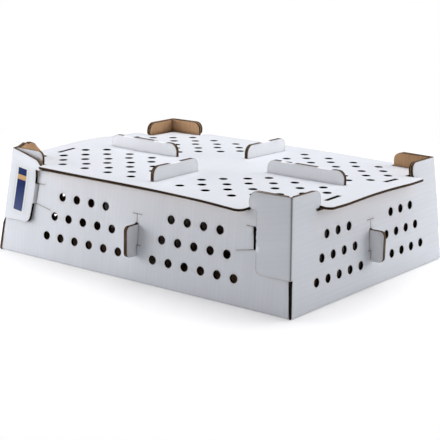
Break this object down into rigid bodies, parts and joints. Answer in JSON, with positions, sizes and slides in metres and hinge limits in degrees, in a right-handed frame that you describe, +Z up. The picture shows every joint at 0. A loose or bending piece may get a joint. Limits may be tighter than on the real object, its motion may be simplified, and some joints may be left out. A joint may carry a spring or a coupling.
{
  "type": "chick box",
  "caption": "Corrugated board box for carrying young chicks: leaning vented walls, corner posts for stacking, a lift-off perforated lid and crossed dividers hooked through the walls.",
  "frame": {"origin": "middle of the floor's underside, where the box stands", "axes": "+X along the long walls, +Y across to the far long wall, +Z up"},
  "size_m": [0.6466, 0.4966, 0.18],
  "materials": {
    "white_board": "white-lined corrugated board, brown kraft inside and on the cut edges",
    "lid_board": "white-lined corrugated board, brown kraft underneath and on the cut edges",
    "divider_board": "white-lined corrugated board with brown cut edges",
    "label_paper": "printed paper sticker with a plain field of blue"
  },
  "bodies": {
    "box": {"tray": "white_board", "long_divider": "divider_board", "cross_divider": "divider_board", "label": "label_paper"},
    "lid": {"lid": "lid_board"}
  },
  "joints": [
    {"name": "lid_lift", "type": "slide", "parent": "box", "child": "lid", "axis": [0, 0, 1], "range_m": [0, 0.12]}
  ]
}
